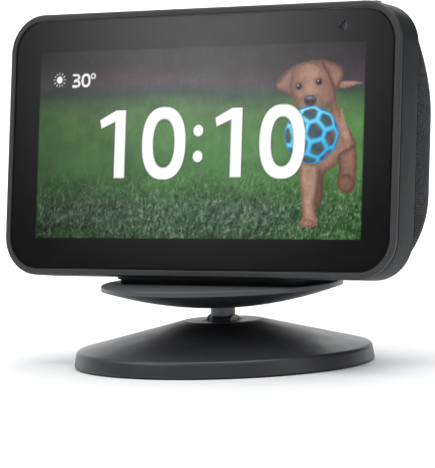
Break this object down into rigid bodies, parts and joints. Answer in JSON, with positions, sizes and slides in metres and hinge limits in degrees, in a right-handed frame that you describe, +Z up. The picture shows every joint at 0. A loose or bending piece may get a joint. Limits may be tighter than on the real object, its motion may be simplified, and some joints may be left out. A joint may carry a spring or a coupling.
{
  "type": "smart display",
  "caption": "Small wedge-backed touch display with a fabric rear, seated by magnets on a round weighted stand that swivels and tilts.",
  "frame": {"origin": "middle of the stand's underside, on the swivel axis", "axes": "+Z up, the screen faces -Y, +X is the viewer's right; the display leans back by 7 degrees"},
  "size_m": [0.148, 0.1001, 0.1155],
  "materials": {
    "frame_plastic": "fine satin moulded",
    "cover_glass": "polished black-backed glass",
    "panel_film": "gloss film",
    "backlight": "white diffuser",
    "sheet_steel": "pressed sheet",
    "screw_steel": "zinc plated",
    "housing_plastic": "fine matte moulded",
    "shell_plastic": "matte moulded",
    "fabric": "heathered weave",
    "cover_plastic": "matte moulded",
    "rubber": "matte",
    "circuit_board": "green solder mask",
    "chip": "matte epoxy",
    "tin": "tinned sheet",
    "aluminium": "satin",
    "polyimide": "amber film",
    "brass": "plated",
    "box_plastic": "matte moulded",
    "magnet": "nickel plated",
    "cone": "matte paper",
    "foam": "closed-cell foam",
    "button_plastic": "satin moulded",
    "lens": "coated",
    "port_plastic": "satin moulded",
    "plate_plastic": "satin moulded",
    "base_plastic": "satin moulded",
    "nylon": "natural",
    "cast_zinc": "as cast"
  },
  "bodies": {
    "base": {"base_shell": "base_plastic", "base_ballast": "cast_zinc", "base_pan": "cover_plastic", "base_foot": "rubber", "base_screws": "screw_steel", "glide_ring": "nylon", "swivel_washer": "screw_steel"},
    "turret": {"turret": "base_plastic", "tilt_pin": "screw_steel", "tilt_washers": "nylon", "turret_retainer": "screw_steel"},
    "plate": {"neck_post": "cast_zinc", "plate_dish": "base_plastic", "plate_top": "plate_plastic", "plate_screws": "screw_steel", "dock_pad": "rubber", "dock_magnets": "magnet"},
    "display": {"front_frame": "frame_plastic", "cover_glass": "cover_glass", "touch_sensor": "panel_film", "lcd_panel": "panel_film", "backlight_unit": "backlight", "panel_bracket": "sheet_steel", "bracket_screws": "screw_steel", "main_housing": "housing_plastic", "shell_screws": "screw_steel", "rear_shell": "shell_plastic", "fabric_cover": "fabric", "bottom_cover": "cover_plastic", "foot_pad": "rubber", "dock_steel": "sheet_steel", "cover_screws": "screw_steel", "main_board": "circuit_board", "board_chips": "chip", "board_screws": "screw_steel", "soc_shield": "tin", "heat_spreader": "aluminium", "display_flex": "polyimide", "antennas": "brass", "speaker_box": "box_plastic", "box_screws": "screw_steel", "speaker_basket": "sheet_steel", "speaker_magnet": "magnet", "speaker_cone": "cone", "speaker_surround": "rubber", "speaker_gasket": "foam", "speaker_grille": "box_plastic", "button_board": "circuit_board", "button_switches": "tin", "camera_module": "chip", "camera_lens": "lens", "light_sensor": "chip", "port_panel": "port_plastic", "port_board": "circuit_board", "power_inlet": "port_plastic", "service_port": "tin"},
    "mute_button": {"mute_button": "button_plastic"},
    "volume_down_button": {"volume_down_button": "button_plastic"},
    "volume_up_button": {"volume_up_button": "button_plastic"},
    "camera_shutter": {"camera_shutter": "button_plastic"}
  },
  "joints": [
    {"name": "base_swivel", "type": "hinge", "parent": "base", "child": "turret", "pos_m": [0, 0, 0.0096], "axis": [0, 0, 1], "continuous": true},
    {"name": "plate_tilt", "type": "hinge", "parent": "turret", "child": "plate", "pos_m": [0, 0, 0.0124], "axis": [1, 0, 0], "range_deg": [-20, 20]},
    {"name": "display_lift", "type": "slide", "parent": "plate", "child": "display", "axis": [0, 0, 1], "range_m": [0, 0.019]},
    {"name": "mute_press", "type": "slide", "parent": "display", "child": "mute_button", "axis": [0, -0.1219, -0.9925], "range_m": [0, 0.0004], "stiffness_N_per_m": 400, "springref_m": -0.0005},
    {"name": "volume_down_press", "type": "slide", "parent": "display", "child": "volume_down_button", "axis": [0, -0.1219, -0.9925], "range_m": [0, 0.0004], "stiffness_N_per_m": 400, "springref_m": -0.0005},
    {"name": "volume_up_press", "type": "slide", "parent": "display", "child": "volume_up_button", "axis": [0, -0.1219, -0.9925], "range_m": [0, 0.0004], "stiffness_N_per_m": 400, "springref_m": -0.0005},
    {"name": "camera_shutter_slide", "type": "slide", "parent": "display", "child": "camera_shutter", "axis": [-1, 0, 0], "range_m": [0, 0.0046]}
  ]
}
